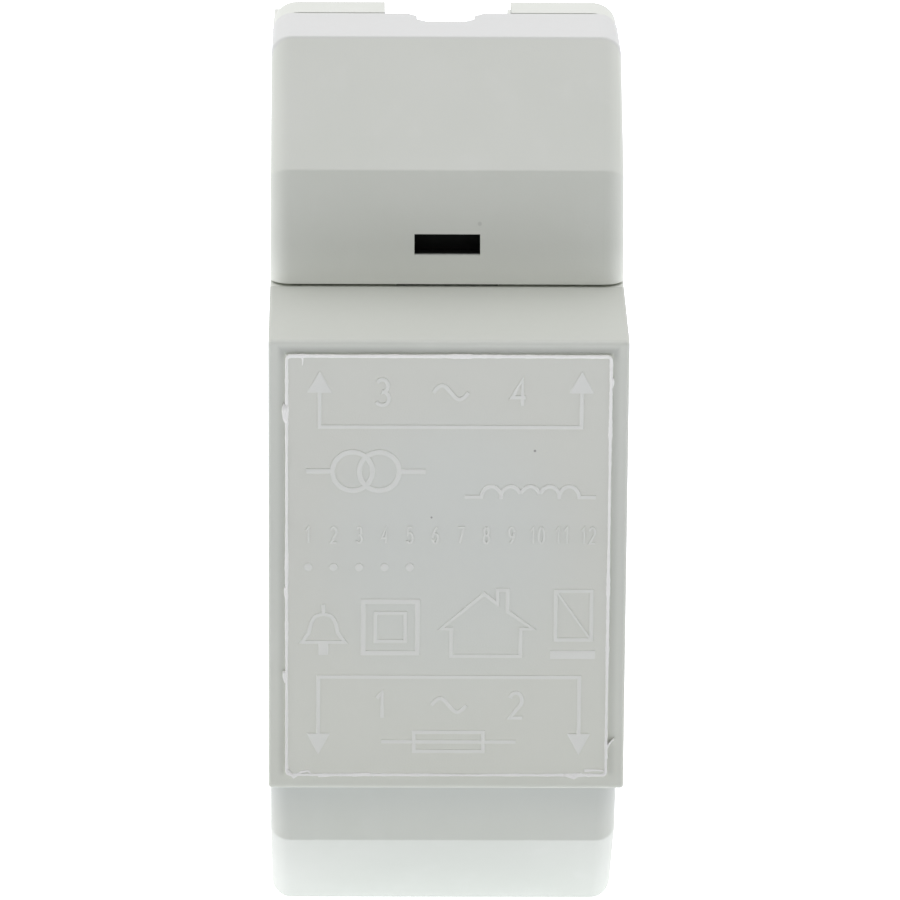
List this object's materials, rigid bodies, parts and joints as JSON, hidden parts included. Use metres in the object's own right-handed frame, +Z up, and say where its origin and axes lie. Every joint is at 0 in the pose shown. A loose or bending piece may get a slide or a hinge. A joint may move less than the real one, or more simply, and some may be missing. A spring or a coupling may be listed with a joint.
{
  "type": "doorbell transformer",
  "caption": "Light grey doorbell transformer for a 35 mm rail: a projecting nose with a raised plate between faceted terminal covers, over a base with a sprung rail latch.",
  "frame": {"origin": "middle of the rail seat, the plane where the front of a 35 mm rail bears on the base", "axes": "+X to the right as seen from the front and along the rail, the front faces -Y, +Z up"},
  "size_m": [0.035, 0.0609, 0.0918],
  "materials": {
    "housing_plastic": "fine satin, light grey",
    "latch_plastic": "satin, mid grey",
    "spring_steel": "drawn wire",
    "core_steel": "varnished laminations",
    "plated_steel": "zinc plated",
    "former_plastic": "natural nylon",
    "copper_wire": "enamelled copper",
    "coil_tape": "clear amber film",
    "tinned_metal": "tinned",
    "fuse_body": "moulded",
    "carrier_plastic": "satin, grey",
    "screw_steel": "zinc plated",
    "lead_insulation": "smooth sleeve"
  },
  "bodies": {
    "housing": {"rear_base": "housing_plastic", "front_shell": "housing_plastic", "upper_terminal_cover": "housing_plastic", "lower_terminal_cover": "housing_plastic", "latch_spring": "spring_steel", "core_e_laminations": "core_steel", "core_i_laminations": "core_steel", "core_clamp": "plated_steel", "coil_bobbin": "former_plastic", "primary_winding": "copper_wire", "secondary_winding": "copper_wire", "primary_tape": "coil_tape", "secondary_tape": "coil_tape", "bobbin_pins": "tinned_metal", "thermal_fuse": "fuse_body", "upper_terminal_block": "carrier_plastic", "lower_terminal_block": "carrier_plastic", "upper_left_clamp": "plated_steel", "upper_right_clamp": "plated_steel", "lower_left_clamp": "plated_steel", "lower_right_clamp": "plated_steel", "terminal_screws": "screw_steel", "primary_lead_left": "lead_insulation", "primary_lead_right": "lead_insulation", "secondary_lead_left": "lead_insulation", "secondary_lead_right": "lead_insulation"},
    "latch": {"rail_latch": "latch_plastic"}
  },
  "joints": [
    {"name": "rail_latch_slide", "type": "slide", "parent": "housing", "child": "latch", "axis": [0, 0, -1], "range_m": [0, 0.0035], "stiffness_N_per_m": 900, "springref_m": -0.002, "deforming": ["latch_spring"]}
  ]
}
